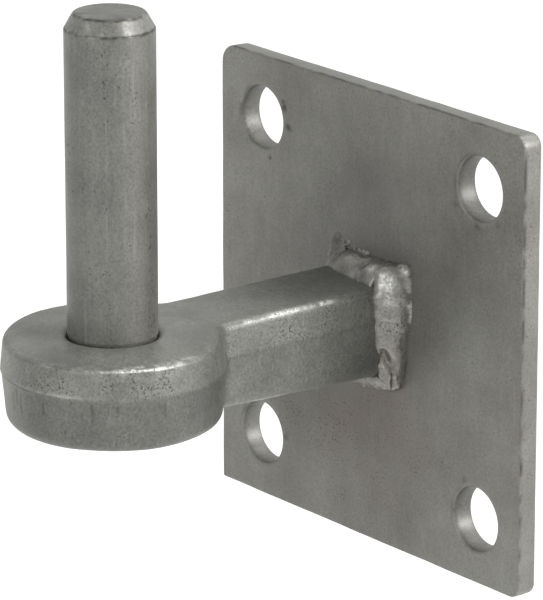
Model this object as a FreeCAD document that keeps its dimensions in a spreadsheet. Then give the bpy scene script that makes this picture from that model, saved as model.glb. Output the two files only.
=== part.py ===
"""Gate hinge pin: a bolt-on back plate, a forged arm with a ring eye, and a round pin welded in the eye.

Millimetres. The origin is the centre of the plate's back face, +X to the right of someone facing the plate,
+Y into the post behind it and +Z up, so the arm comes out along -Y and the pin stands up from its end.
"""
import FreeCAD
import Part
import Sketcher

import math
import os

# Driving dimensions: alias, value, what it is
DIMENSIONS = [
    ("plate_width", 101.6, "back plate, across"),
    ("plate_height", 101.6, "back plate, up"),
    ("plate_thickness", 4.8, "back plate, front to back"),
    ("plate_corner_radius", 2.2, "three corners of the plate"),
    ("plate_sheared_radius", 0.6, "the lower left corner, left as sheared"),
    ("plate_edge_bevel", 0.4, "worn front edge of the plate"),
    ("hole_diameter", 14.3, "bolt holes"),
    ("hole_inset", 14.3, "from the plate's edge to a bolt hole's centre"),
    ("hole_rim_bevel", 0.5, "eased front rim of a bolt hole"),
    ("pin_reach", 73.0, "from the plate's back to the pin's axis"),
    ("pin_diameter", 19.0, "bare length of the pin"),
    ("pin_exposed", 68.5, "from the eye's top to the pin's top"),
    ("pin_chamfer_height", 3.4, "lead-in at the pin's top, along the pin"),
    ("pin_chamfer_width", 1.85, "lead-in at the pin's top, across"),
    ("pin_foot_step", 0.25, "how much the foot's radius is turned down"),
    ("bore_clearance", 0.1, "gap between foot and bore, on the radius"),
    ("bore_mouth_round", 1.6, "rounded upper mouth of the bore, cut in two bevels"),
    ("eye_diameter", 46.9, "ring eye, at the parting line"),
    ("eye_top", 9.75, "eye's top above the plate's centre"),
    ("eye_bottom", 9.5, "eye's underside below the plate's centre"),
    ("eye_top_round", 1.6, "upper edge of eye and arm"),
    ("eye_bottom_round", 3.0, "lower edge of eye and arm"),
    ("parting_height", 2.3, "parting line above the plate's centre"),
    ("draft_angle", 5.0, "forging draft above and below the parting line, degrees"),
    ("arm_width", 22.0, "arm, across at the parting line"),
    ("arm_root_depth", 11.2, "arm's underside below the plate's centre, at the plate"),
    ("underside_bend", 60.0, "radius where the eye's flat underside turns into the arm's slope"),
    ("forging_allowance", 3.0, "blank below the root's depth, before the underside is shaped"),
    ("neck_round", 2.5, "inside corner between arm and eye"),
    ("weld_sink", 3.0, "how far a weld's blank starts inside the arm"),
    ("weld_inset", 1.5, "from the arm's sides to the ends of the runs above and below it"),
    ("top_weld_left_rise", 5.8, "upper weld, up the plate at its left end"),
    ("top_weld_right_rise", 4.6, "upper weld, up the plate at its right end"),
    ("top_weld_left_leg", 3.6, "upper weld, along the arm at its left end"),
    ("top_weld_right_leg", 6.6, "upper weld, along the arm at its right end"),
    ("side_weld_plate_leg", 3.9, "side welds, across the plate"),
    ("side_weld_arm_leg", 6.4, "side welds, along the arm"),
    ("side_weld_low_share", 0.75, "side welds' legs near their lower end, as a share of the middle"),
    ("weld_end_share", 0.45, "a weld's legs at its ends, as a share of the run beside them"),
    ("weld_taper", 3.0, "length over which a weld swells from its end"),
    ("right_weld_rise", 4.6, "right weld's upper end, above the arm's top"),
    ("left_weld_stop", 2.7, "left weld's upper end, below the arm's top"),
    ("side_weld_drop", 2.8, "side welds' lower end, below the arm's underside"),
    ("bottom_weld_drop", 5.2, "lower weld, down the plate"),
    ("bottom_weld_arm_leg", 7.0, "lower weld, along the arm"),
    ("pin_weld_groove", 3.0, "bevel round the bore's lower mouth, filled by weld"),
    ("pin_weld_lap", 1.2, "pin weld, over the foot's end and the eye's underside"),
    ("pin_weld_crown", 1.6, "pin weld, below the eye's underside"),
]

doc = FreeCAD.newDocument("gate_hinge_pin")
dims = doc.addObject("Spreadsheet::Sheet", "dims")
for row, (alias, value, meaning) in enumerate(DIMENSIONS, start=1):
    dims.set("A%d" % row, alias)
    dims.set("B%d" % row, str(value))
    dims.setAlias("B%d" % row, alias)
    dims.set("C%d" % row, meaning)
doc.recompute()

# Sizes that several pieces share, worked out from the sheet
PIN_RADIUS = "dims.pin_diameter / 2"
FOOT_RADIUS = "(dims.pin_diameter / 2 - dims.pin_foot_step)"
BORE_RADIUS = "(dims.pin_diameter / 2 - dims.pin_foot_step + dims.bore_clearance)"
PIN_TOP = "(dims.eye_top + dims.pin_exposed)"
EYE_RADIUS = "dims.eye_diameter / 2"
ARM_HALF = "dims.arm_width / 2"
PLATE_FACE = "-dims.plate_thickness"

# Two places closer than this are the same place
NEAR = 1e-6

# Flat facets across a weld's crown, which follows a quarter of an ellipse
CROWN_FACETS = 4

# A rounded end's fullness halfway along it, as on a quarter circle
HALFWAY_ROUND = 0.866


def number(expression):
    """The value of an expression on the sheet."""
    return float(dims.evalExpression(str(expression)))


def new_body(label):
    body = doc.addObject("PartDesign::Body", label)
    body.Label = label
    return body


def on_plane(body, kind, name, plane, offset):
    """A sketch or datum plane on one of the body's origin planes, moved by offset: {axis: expression}."""
    thing = body.newObject(kind, name)
    support = [feature for feature in body.Origin.OriginFeatures if feature.Role == plane]
    thing.AttachmentSupport = (support[0], [""])
    thing.MapMode = "FlatFace"
    for axis, expression in offset.items():
        thing.setExpression("AttachmentOffset.Base.%s" % axis, expression)
    return thing


def new_sketch(body, name, plane, offset):
    return on_plane(body, "Sketcher::SketchObject", name, plane, offset)


def drive(sketch, constraint, expression):
    """Adds a constraint whose value follows an expression."""
    index = sketch.addConstraint(constraint)
    sketch.setExpression("Constraints[%d]" % index, expression)


def place_point(sketch, geometry, end, x, y):
    """Holds a point of the sketch at two expressions."""
    drive(sketch, Sketcher.Constraint("DistanceX", -1, 1, geometry, end, number(x)), x)
    drive(sketch, Sketcher.Constraint("DistanceY", -1, 1, geometry, end, number(y)), y)


def closed_profile(body, name, plane, corners, offset=None):
    """A closed outline with corners in anticlockwise order, each (x, y, radius or None) as expressions."""
    sketch = new_sketch(body, name, plane, offset or {})
    count = len(corners)
    sharp = [FreeCAD.Vector(number(x), number(y), 0) for x, y, radius in corners]
    leaves, arrives, arcs = [], [], []
    for i, (x, y, radius) in enumerate(corners):
        before = (sharp[i - 1] - sharp[i]).normalize()
        after = (sharp[(i + 1) % count] - sharp[i]).normalize()
        half = before.getAngle(after) / 2
        setback = number(radius) / math.tan(half) if radius else 0
        arrives.append(sharp[i] + before * setback)
        leaves.append(sharp[i] + after * setback)
        middle = (before + after).normalize()
        arcs.append(sharp[i] + middle * (number(radius) / math.sin(half)) if radius else None)
    for i in range(count):
        sketch.addGeometry(Part.LineSegment(leaves[i], arrives[(i + 1) % count]))
    for i, (x, y, radius) in enumerate(corners):
        incoming = (i - 1) % count
        if not radius:
            sketch.addConstraint(Sketcher.Constraint("Coincident", incoming, 2, i, 1))
            place_point(sketch, i, 1, x, y)
            continue
        start, end = arrives[i] - arcs[i], leaves[i] - arcs[i]
        convex = start.cross(end).z > 0
        first, last = (start, end) if convex else (end, start)
        circle = Part.Circle(arcs[i], FreeCAD.Vector(0, 0, 1), number(radius))
        angles = math.atan2(first.y, first.x), math.atan2(last.y, last.x)
        arc = sketch.addGeometry(Part.ArcOfCircle(circle, *angles))
        point = sketch.addGeometry(Part.Point(sharp[i]), True)
        sketch.addConstraint(Sketcher.Constraint("Tangent", incoming, 2, arc, 1 if convex else 2))
        sketch.addConstraint(Sketcher.Constraint("Tangent", i, 1, arc, 2 if convex else 1))
        sketch.addConstraint(Sketcher.Constraint("PointOnObject", point, 1, incoming))
        sketch.addConstraint(Sketcher.Constraint("PointOnObject", point, 1, i))
        place_point(sketch, point, 1, x, y)
        drive(sketch, Sketcher.Constraint("Radius", arc, number(radius)), radius)
    return sketch


def revolve(body, kind, name, profile):
    """A full turn of a profile about its own upright axis."""
    feature = body.newObject(kind, name)
    feature.Profile = profile
    feature.ReferenceAxis = (profile, ["V_Axis"])
    feature.Angle = 360
    doc.recompute()
    return feature


def loft(body, name, sections):
    feature = body.newObject("PartDesign::AdditiveLoft", name)
    feature.Profile = sections[0]
    feature.Sections = sections[1:]
    feature.Ruled = True
    doc.recompute()
    return feature


def dress(body, kind, name, base, wanted, size):
    """Fillets or chamfers the edges of base for which wanted(edge) is true."""
    edges = ["Edge%d" % i for i, edge in enumerate(base.Shape.Edges, start=1) if wanted(edge)]
    feature = body.newObject("PartDesign::" + kind, name)
    feature.Base = (base, edges)
    feature.setExpression("Radius" if kind == "Fillet" else "Size", size)
    doc.recompute()
    return feature


def fillet(body, name, base, wanted, radius):
    return dress(body, "Fillet", name, base, wanted, radius)


def cut(label, base, tool):
    feature = doc.addObject("Part::Cut", label)
    feature.Label = label
    feature.Base = base
    feature.Tool = tool
    doc.recompute()
    return feature


# Back plate: sheared flat bar with one corner left sharp, four holes and a worn front edge
def make_back_plate():
    body = new_body("back_plate")
    half_width, half_height = "dims.plate_width / 2", "dims.plate_height / 2"
    round_corner, sheared_corner = "dims.plate_corner_radius", "dims.plate_sheared_radius"
    outline = closed_profile(body, "plate_outline", "XZ_Plane", [
        ("-" + half_width, "-" + half_height, sheared_corner),
        (half_width, "-" + half_height, round_corner),
        (half_width, half_height, round_corner),
        ("-" + half_width, half_height, round_corner),
    ])
    pad = body.newObject("PartDesign::Pad", "plate_pad")
    pad.Profile = outline
    pad.setExpression("Length", "dims.plate_thickness")

    holes = new_sketch(body, "plate_holes", "XZ_Plane", {})
    hole_x = "(dims.plate_width / 2 - dims.hole_inset)"
    hole_z = "(dims.plate_height / 2 - dims.hole_inset)"
    for side in (-1, 1):
        for level in (-1, 1):
            x, z = "%d * %s" % (side, hole_x), "%d * %s" % (level, hole_z)
            centre = FreeCAD.Vector(number(x), number(z), 0)
            radius = number("dims.hole_diameter / 2")
            hole = holes.addGeometry(Part.Circle(centre, FreeCAD.Vector(0, 0, 1), radius))
            place_point(holes, hole, 3, x, z)
            drive(holes, Sketcher.Constraint("Radius", hole, radius), "dims.hole_diameter / 2")
    pocket = body.newObject("PartDesign::Pocket", "plate_bolt_holes")
    pocket.Profile = holes
    pocket.Type = "ThroughAll"
    pocket.Reversed = True
    doc.recompute()

    face = number(PLATE_FACE)
    hole_radius = number("dims.hole_diameter / 2")

    def on_front(edge):
        return all(abs(vertex.Point.y - face) < NEAR for vertex in edge.Vertexes)

    def rim(edge):
        circle = edge.Curve.TypeId == "Part::GeomCircle"
        return on_front(edge) and circle and edge.isClosed() and abs(edge.Curve.Radius - hole_radius) < NEAR

    rims = dress(body, "Chamfer", "plate_hole_rims", pocket, rim, "dims.hole_rim_bevel")

    def outer(edge):
        return on_front(edge) and not edge.isClosed()

    dress(body, "Chamfer", "plate_front_edge", rims, outer, "dims.plate_edge_bevel")
    return body


# Forged arm and eye: one outline at the parting line, drawn up and down with draft, cut square at the plate
def parting_outline(body):
    """Ring eye with the arm's sides running into it through rounded necks."""
    sketch = new_sketch(body, "parting_outline", "XY_Plane", {"z": "dims.parting_height"})
    eye_radius, half, neck = number(EYE_RADIUS), number(ARM_HALF), number("dims.neck_round")
    eye = FreeCAD.Vector(0, -number("dims.pin_reach"), 0)
    upright = FreeCAD.Vector(0, 0, 1)
    rise = math.sqrt((eye_radius + neck) ** 2 - (half + neck) ** 2)
    opening = math.atan2(rise, half + neck)
    right_neck = eye + FreeCAD.Vector(half + neck, rise, 0)
    left_neck = eye + FreeCAD.Vector(-half - neck, rise, 0)
    right_root, left_root = FreeCAD.Vector(half, 0, 0), FreeCAD.Vector(-half, 0, 0)
    right_start, left_start = FreeCAD.Vector(half, right_neck.y, 0), FreeCAD.Vector(-half, left_neck.y, 0)
    ring_circle = Part.Circle(eye, upright, eye_radius)
    right_circle = Part.Circle(right_neck, upright, neck)
    left_circle = Part.Circle(left_neck, upright, neck)
    right = sketch.addGeometry(Part.LineSegment(right_root, right_start))
    left = sketch.addGeometry(Part.LineSegment(left_start, left_root))
    root = sketch.addGeometry(Part.LineSegment(left_root, right_root))
    right_arc = sketch.addGeometry(Part.ArcOfCircle(right_circle, math.pi, math.pi + opening))
    left_arc = sketch.addGeometry(Part.ArcOfCircle(left_circle, -opening, 0))
    ring = sketch.addGeometry(Part.ArcOfCircle(ring_circle, math.pi - opening, 2 * math.pi + opening))
    sketch.addConstraint([
        Sketcher.Constraint("Coincident", root, 2, right, 1),
        Sketcher.Constraint("Coincident", root, 1, left, 2),
        Sketcher.Constraint("Vertical", right),
        Sketcher.Constraint("Vertical", left),
        Sketcher.Constraint("Tangent", right, 2, right_arc, 1),
        Sketcher.Constraint("Tangent", right_arc, 2, ring, 2),
        Sketcher.Constraint("Tangent", ring, 1, left_arc, 1),
        Sketcher.Constraint("Tangent", left_arc, 2, left, 1),
    ])
    place_point(sketch, right, 1, ARM_HALF, "0")
    place_point(sketch, left, 2, "-" + ARM_HALF, "0")
    place_point(sketch, ring, 3, "0", "-dims.pin_reach")
    drive(sketch, Sketcher.Constraint("Radius", ring, eye_radius), EYE_RADIUS)
    drive(sketch, Sketcher.Constraint("Radius", right_arc, neck), "dims.neck_round")
    drive(sketch, Sketcher.Constraint("Radius", left_arc, neck), "dims.neck_round")
    return sketch


def make_eye_arm():
    body = new_body("eye_arm")
    outline = parting_outline(body)
    at_parting = {"z": "dims.parting_height"}
    parting_plane = on_plane(body, "PartDesign::Plane", "parting_plane", "XY_Plane", at_parting)
    parting = number("dims.parting_height")

    def die_half(name, length, downwards):
        """The outline drawn to one side of the parting plane, its walls leaning in by the draft."""
        pad = body.newObject("PartDesign::Pad", name)
        pad.Profile = outline
        pad.setExpression("Length", length)
        pad.Reversed = downwards
        doc.recompute()
        walls = []
        for i, face in enumerate(pad.Shape.Faces, start=1):
            box = face.BoundBox
            this_half = box.ZMax < parting + NEAR if downwards else box.ZMin > parting - NEAR
            if this_half and box.ZLength > NEAR:
                walls.append("Face%d" % i)
        drawn = body.newObject("PartDesign::Draft", name + "_drawn")
        drawn.Base = (pad, walls)
        drawn.NeutralPlane = (parting_plane, [""])
        drawn.Reversed = downwards
        drawn.setExpression("Angle", "dims.draft_angle")
        doc.recompute()

    die_half("upper_half", "dims.eye_top - dims.parting_height", False)
    die_half("lower_half", "dims.arm_root_depth + dims.parting_height + dims.forging_allowance", True)

    root_cut = closed_profile(body, "root_cut", "XZ_Plane", [
        ("-dims.arm_width", "-2 * dims.eye_bottom", None),
        ("dims.arm_width", "-2 * dims.eye_bottom", None),
        ("dims.arm_width", "2 * dims.eye_top", None),
        ("-dims.arm_width", "2 * dims.eye_top", None),
    ], {"z": "dims.plate_thickness"})
    sawn = body.newObject("PartDesign::Pocket", "sawn_root")
    sawn.Profile = root_cut
    sawn.Type = "ThroughAll"
    doc.recompute()

    beyond_eye = "-(dims.pin_reach + dims.eye_diameter)"
    below_blank = "-2 * (dims.arm_root_depth + dims.forging_allowance)"
    underside = closed_profile(body, "underside", "YZ_Plane", [
        (beyond_eye, below_blank, None),
        (PLATE_FACE, below_blank, None),
        (PLATE_FACE, "-dims.arm_root_depth", None),
        ("-dims.pin_reach + %s" % EYE_RADIUS, "-dims.eye_bottom", "dims.underside_bend"),
        (beyond_eye, "-dims.eye_bottom", None),
    ])
    shaped = body.newObject("PartDesign::Pocket", "shaped_underside")
    shaped.Profile = underside
    shaped.Type = "ThroughAll"
    shaped.Midplane = True
    doc.recompute()

    face, top, bottom = number(PLATE_FACE), number("dims.eye_top"), -number("dims.eye_bottom")

    def off_plate(edge):
        return any(abs(vertex.Point.y - face) > NEAR for vertex in edge.Vertexes)

    def upper_rim(edge):
        return off_plate(edge) and all(abs(vertex.Point.z - top) < NEAR for vertex in edge.Vertexes)

    def lower_rim(edge):
        points = [vertex.Point for vertex in edge.Vertexes]
        across = edge.Curve.TypeId == "Part::GeomLine" and points[0].x * points[-1].x < 0
        return off_plate(edge) and not across and all(point.z < bottom + NEAR for point in points)

    upper = fillet(body, "upper_edge", shaped, upper_rim, "dims.eye_top_round")
    fillet(body, "lower_edge", upper, lower_rim, "dims.eye_bottom_round")

    mouth_step = "(1 - %s) * dims.bore_mouth_round" % math.cos(math.pi / 4)
    bore_section = closed_profile(body, "bore_section", "YZ_Plane", [
        ("0", "-dims.eye_bottom", None),
        ("%s + dims.pin_weld_groove" % BORE_RADIUS, "-dims.eye_bottom", None),
        (BORE_RADIUS, "-dims.eye_bottom + dims.pin_weld_groove", None),
        (BORE_RADIUS, "dims.eye_top - dims.bore_mouth_round", None),
        ("%s + %s" % (BORE_RADIUS, mouth_step), "dims.eye_top - %s" % mouth_step, None),
        ("%s + dims.bore_mouth_round" % BORE_RADIUS, "dims.eye_top", None),
        ("0", "dims.eye_top", None),
    ], {"x": "-dims.pin_reach"})
    revolve(body, "PartDesign::Groove", "bore", bore_section)
    return body


# Pin: turned bar with a lead-in on top and a foot turned down to the eye's bore
def make_hinge_pin():
    body = new_body("hinge_pin")
    tip_radius = "%s - dims.pin_chamfer_width" % PIN_RADIUS
    section = closed_profile(body, "pin_section", "YZ_Plane", [
        ("0", "-dims.eye_bottom", None),
        (FOOT_RADIUS, "-dims.eye_bottom", None),
        (FOOT_RADIUS, "dims.eye_top", None),
        (PIN_RADIUS, "dims.eye_top", None),
        (PIN_RADIUS, "%s - dims.pin_chamfer_height" % PIN_TOP, None),
        (tip_radius, PIN_TOP, None),
        ("0", PIN_TOP, None),
    ], {"x": "-dims.pin_reach"})
    revolve(body, "PartDesign::Revolution", "pin_turned", section)
    return body


# Welds round the arm's root: each run is a convex blank, cut back to the arm and the runs laid before it
END_SHARE = "dims.weld_end_share"
HALFWAY_SHARE = "(dims.weld_end_share + %s * (1 - dims.weld_end_share))" % HALFWAY_ROUND


def weld_section(surface, plate_leg, arm_leg):
    """Corners of a run's section as (along the arm, away from it). surface is the arm's own level."""
    toe = "-(dims.plate_thickness + %s)" % arm_leg
    corners = [(toe, "%s - dims.weld_sink" % surface), (PLATE_FACE, "%s - dims.weld_sink" % surface)]
    for facet in range(CROWN_FACETS + 1):
        turn = math.pi / 2 * facet / CROWN_FACETS
        along = "-(dims.plate_thickness + %.4f * %s)" % (math.sin(turn), arm_leg)
        away = "%s + %.4f * %s" % (surface, math.cos(turn), plate_leg)
        corners.append((along, away))
    return corners


def cross_weld(label, sign, surface, plate_legs, arm_legs):
    """A run over or under the arm, from its left end to its right. sign is 1 above it and -1 below."""
    body = new_body(label + "_blank")
    left, right = "-(%s - dims.weld_inset)" % ARM_HALF, "%s - dims.weld_inset" % ARM_HALF
    stations = [
        (left, 0, END_SHARE),
        (left + " + dims.weld_taper / 2", 0, HALFWAY_SHARE),
        (left + " + dims.weld_taper", 0, "1"),
        (right + " - dims.weld_taper", 1, "1"),
        (right + " - dims.weld_taper / 2", 1, HALFWAY_SHARE),
        (right, 1, END_SHARE),
    ]
    sections = []
    for station, side, share in stations:
        plate_leg, arm_leg = "%s * %s" % (share, plate_legs[side]), "%s * %s" % (share, arm_legs[side])
        corners = [(y, z, None) for y, z in weld_section(surface, plate_leg, arm_leg)]
        if sign < 0:
            corners = [(y, "-(%s)" % z, None) for y, z, radius in reversed(corners)]
        name = "%s_station_%d" % (label, len(sections))
        sections.append(closed_profile(body, name, "YZ_Plane", corners, {"z": station}))
    loft(body, label + "_run", sections)
    return body


def side_weld(label, side, top):
    """A run down one side of the arm, thinner low down. side is 1 on the right and -1 on the left."""
    body = new_body(label + "_blank")
    bottom = "-(dims.arm_root_depth + dims.side_weld_drop)"
    low = "dims.side_weld_low_share"
    levels = [
        (bottom, "%s * %s" % (low, END_SHARE)),
        (bottom + " + dims.weld_taper / 2", "%s * %s" % (low, HALFWAY_SHARE)),
        (bottom + " + dims.weld_taper", low),
        ("(%s + %s) / 2" % (top, bottom), "1"),
        (top + " - dims.weld_taper", "1"),
        (top + " - dims.weld_taper / 2", HALFWAY_SHARE),
        (top, END_SHARE),
    ]
    sections = []
    for level, share in levels:
        plate_leg, arm_leg = "%s * dims.side_weld_plate_leg" % share, "%s * dims.side_weld_arm_leg" % share
        corners = [(x, y, None) for y, x in reversed(weld_section(ARM_HALF, plate_leg, arm_leg))]
        if side < 0:
            corners = [("-(%s)" % x, y, None) for x, y, radius in reversed(corners)]
        name = "%s_level_%d" % (label, len(sections))
        sections.append(closed_profile(body, name, "XY_Plane", corners, {"z": level}))
    loft(body, label + "_run", sections)
    return body


# Weld under the eye: fills the bevel round the foot and laps over both edges
def make_pin_weld():
    body = new_body("pin_weld")
    underside, crown = "-dims.eye_bottom", "-(dims.eye_bottom + dims.pin_weld_crown)"
    bevel_edge = "%s + dims.pin_weld_groove" % BORE_RADIUS
    bevel_root = "-dims.eye_bottom + dims.pin_weld_groove"
    section = closed_profile(body, "pin_weld_section", "YZ_Plane", [
        ("%s - dims.pin_weld_lap" % FOOT_RADIUS, underside, None),
        (FOOT_RADIUS, crown, None),
        (bevel_edge, crown, None),
        ("%s + dims.pin_weld_lap" % bevel_edge, underside, None),
        (bevel_edge, underside, None),
        (BORE_RADIUS, bevel_root, None),
        (FOOT_RADIUS, bevel_root, None),
        (FOOT_RADIUS, underside, None),
    ], {"x": "-dims.pin_reach"})
    revolve(body, "PartDesign::Revolution", "pin_weld_run", section)
    return body


back_plate = make_back_plate()
eye_arm = make_eye_arm()
hinge_pin = make_hinge_pin()
pin_weld = make_pin_weld()

top_blank = cross_weld(
    "weld_top", 1, "dims.eye_top",
    ("dims.top_weld_left_rise", "dims.top_weld_right_rise"),
    ("dims.top_weld_left_leg", "dims.top_weld_right_leg"))
bottom_blank = cross_weld(
    "weld_bottom", -1, "dims.arm_root_depth",
    ("dims.bottom_weld_drop", "dims.bottom_weld_drop"),
    ("dims.bottom_weld_arm_leg", "dims.bottom_weld_arm_leg"))
weld_top = cut("weld_top", top_blank, eye_arm)
weld_bottom = cut("weld_bottom", bottom_blank, eye_arm)


def finish_side_weld(label, side, top):
    beside_arm = cut(label + "_beside_arm", side_weld(label, side, top), eye_arm)
    under_top = cut(label + "_under_top", beside_arm, weld_top)
    return cut(label, under_top, weld_bottom)


weld_right = finish_side_weld("weld_right", 1, "(dims.eye_top + dims.right_weld_rise)")
weld_left = finish_side_weld("weld_left", -1, "(dims.eye_top - dims.left_weld_stop)")

# Checks, then one file for each piece
pieces = [back_plate, eye_arm, hinge_pin, weld_top, weld_right, weld_left, weld_bottom, pin_weld]
doc.recompute()
for thing in doc.Objects:
    if "Invalid" in thing.State or "Error" in thing.State:
        raise RuntimeError("%s did not recompute: %s" % (thing.Label, thing.State))
for piece in pieces:
    shape = piece.Shape
    if shape.isNull() or not shape.isValid() or len(shape.Solids) != 1:
        raise RuntimeError("%s is not one sound solid" % piece.Label)
    print("%-12s %10.1f mm3" % (piece.Label, shape.Volume))

os.makedirs("parts", exist_ok=True)
for piece in pieces:
    piece.Shape.exportStep("parts/%s.step" % piece.Label)
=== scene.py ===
import math

import bmesh
import bpy
import numpy as np
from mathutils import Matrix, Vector, geometry, noise


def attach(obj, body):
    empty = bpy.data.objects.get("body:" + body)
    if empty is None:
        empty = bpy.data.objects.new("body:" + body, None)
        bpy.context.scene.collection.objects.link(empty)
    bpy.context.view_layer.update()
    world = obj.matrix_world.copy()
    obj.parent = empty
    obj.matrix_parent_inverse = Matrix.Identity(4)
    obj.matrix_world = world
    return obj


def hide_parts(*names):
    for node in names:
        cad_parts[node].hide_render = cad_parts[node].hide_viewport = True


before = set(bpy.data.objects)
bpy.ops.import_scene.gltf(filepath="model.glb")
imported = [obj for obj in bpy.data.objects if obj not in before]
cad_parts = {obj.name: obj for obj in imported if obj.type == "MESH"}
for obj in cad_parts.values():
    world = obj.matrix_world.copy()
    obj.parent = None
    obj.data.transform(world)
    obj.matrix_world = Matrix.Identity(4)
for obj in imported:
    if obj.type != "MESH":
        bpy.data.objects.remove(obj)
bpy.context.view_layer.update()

mm = 0.001
print("frame loaded:", ", ".join(sorted(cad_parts)))


# Small helpers for node trees and meshes

def addNode(tree, kind, inputs=None, **settings):
    node = tree.nodes.new(kind)
    for name, value in settings.items():
        setattr(node, name, value)
    for key, value in (inputs or {}).items():
        if isinstance(value, bpy.types.NodeSocket):
            tree.links.new(value, node.inputs[key])
        else:
            node.inputs[key].default_value = value
    return node


def calc(tree, operation, a, b=0.0):
    return addNode(tree, "ShaderNodeMath", {0: a, 1: b}, operation=operation).outputs[0]


def newTree(name, sizes):
    # a Geometry Nodes tree with its own sizes, and those of the skin that endTree adds
    tree = bpy.data.node_groups.new(name, "GeometryNodeTree")
    tree.interface.new_socket("Geometry", in_out="INPUT", socket_type="NodeSocketGeometry")
    skin = (("Broad Scale", "Float"), ("Broad Height", "Float"), ("Fine Scale", "Float"),
            ("Fine Height", "Float"), ("Metal", "Material"))
    for label, kind in sizes + skin:
        tree.interface.new_socket(label, in_out="INPUT", socket_type="NodeSocket" + kind)
    tree.interface.new_socket("Geometry", in_out="OUTPUT", socket_type="NodeSocketGeometry")
    return tree, addNode(tree, "NodeGroupInput").outputs


def addSkin(tree, shape, scale, height, seed):
    # lifts and sinks the surface along its normal by a soft noise
    sockets = {"Scale": scale, "Detail": 2.0, "W": seed}
    grain = addNode(tree, "ShaderNodeTexNoise", sockets, noise_dimensions="4D")
    lift = calc(tree, "MULTIPLY", calc(tree, "SUBTRACT", grain.outputs["Fac"], 0.5), height)
    outward = addNode(tree, "GeometryNodeInputNormal").outputs["Normal"]
    offset = addNode(tree, "ShaderNodeVectorMath", {0: outward, "Scale": lift}, operation="SCALE")
    moved = addNode(tree, "GeometryNodeSetPosition", {"Geometry": shape, "Offset": offset.outputs[0]})
    return moved.outputs[0]


def endTree(tree, shape, sizes):
    # gives the shape its broad and fine unevenness and its metal
    for kind in ("Broad", "Fine"):
        shape = addSkin(tree, shape, sizes[kind + " Scale"], sizes[kind + " Height"], sizes["Seed"])
    smooth = addNode(tree, "GeometryNodeSetShadeSmooth", {"Geometry": shape})
    whole = addNode(tree, "GeometryNodeRealizeInstances", {"Geometry": smooth.outputs[0]})
    painted = addNode(tree, "GeometryNodeSetMaterial", {
        "Geometry": whole.outputs[0], "Material": sizes["Metal"]})
    addNode(tree, "NodeGroupOutput", {"Geometry": painted.outputs[0]})


def skinValues(size, metal):
    return {
        "Broad Scale": size["broadScale"], "Broad Height": size["broadHeight"] * mm,
        "Fine Scale": size["fineScale"], "Fine Height": size["fineHeight"] * mm, "Metal": metal}


def newPiece(name, mesh):
    piece = bpy.data.objects.new(name, mesh)
    bpy.context.scene.collection.objects.link(piece)
    return piece


def growTree(piece, tree, values):
    # runs a Geometry Nodes tree on the piece and keeps its result as a plain mesh
    modifier = piece.modifiers.new(tree.name, "NODES")
    modifier.node_group = tree
    for item in tree.interface.items_tree:
        if item.in_out == "INPUT" and item.name in values:
            modifier[item.identifier] = values[item.name]
    keepResult(piece, modifier)


def keepResult(piece, modifier):
    depsgraph = bpy.context.evaluated_depsgraph_get()
    mesh = bpy.data.meshes.new_from_object(piece.evaluated_get(depsgraph))
    piece.modifiers.remove(modifier)
    mesh.name = piece.name
    piece.data = mesh


def pathMesh(name, runs):
    # runs of points (x, y, z, reach) in millimetres, joined by edges; lies is the way that a bead faces
    mesh = bpy.data.meshes.new(name)
    points, edges, reaches, crowns, lies = [], [], [], [], []
    for run in runs:
        start = len(points)
        points += [(x * mm, y * mm, z * mm) for x, y, z, reach in run["points"]]
        reaches += [reach * mm for x, y, z, reach in run["points"]]
        crowns += [run.get("crown", 1.0)] * len(run["points"])
        lies += list(run.get("lies", (1.0, 0.0, 0.0))) * len(run["points"])
        edges += [(i, i + 1) for i in range(start, len(points) - 1)]
    mesh.from_pydata(points, edges, [])
    keepNumbers(mesh, "reach", reaches)
    keepNumbers(mesh, "crown", crowns)
    mesh.attributes.new("lies", "FLOAT_VECTOR", "POINT").data.foreach_set("vector", lies)
    return mesh


def readPoints(mesh):
    points = np.empty(len(mesh.vertices) * 3)
    mesh.vertices.foreach_get("co", points)
    return points.reshape(-1, 3)


def writePoints(mesh, points):
    mesh.vertices.foreach_set("co", points.ravel())
    mesh.update()


def readNormals(mesh):
    normals = np.empty(len(mesh.vertices) * 3)
    mesh.vertex_normals.foreach_get("vector", normals)
    return normals.reshape(-1, 3)


def blurred(mesh, values, rounds):
    # average over neighbouring vertices, a number of times
    edges = np.empty(len(mesh.edges) * 2, dtype=np.int64)
    mesh.edges.foreach_get("vertices", edges)
    a, b = edges.reshape(-1, 2).T
    links = np.maximum(np.bincount(edges, minlength=len(values)), 1)
    result = np.array(values, dtype=float).reshape(len(values), -1)
    for _ in range(rounds):
        total = np.empty_like(result)
        for axis in range(result.shape[1]):
            column = result[:, axis]
            total[:, axis] = np.bincount(a, column[b], len(links)) + np.bincount(b, column[a], len(links))
        result = 0.5 * result + 0.5 * total / links[:, None]
    return result if np.ndim(values) > 1 else result[:, 0]


def keepNumbers(mesh, name, values):
    numbers = np.asarray(values, dtype=np.float32)
    mesh.attributes.new(name, "FLOAT", "POINT").data.foreach_set("value", numbers)


def smoothStep(values):
    values = np.clip(values, 0.0, 1.0)
    return values * values * (3.0 - 2.0 * values)


def ramp(values, start, length):
    # 0 up to the start, rising softly to 1 over a length
    return smoothStep((values - start) / length)


def hump(values, middle, width):
    # 1 at the middle, fading to 0 at a width on either side
    return smoothStep(1.0 - np.abs(values - middle) / width)


def softSpots(points, spots):
    # sum of round patches, each (x, y, z, radius, amount) in millimetres and fading to 0 at its radius
    total = np.zeros(len(points))
    for x, y, z, radius, amount in spots:
        away = np.linalg.norm(points - np.array((x, y, z)) * mm, axis=1)
        total += amount * smoothStep(1.0 - away / (radius * mm))
    return total


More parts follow.
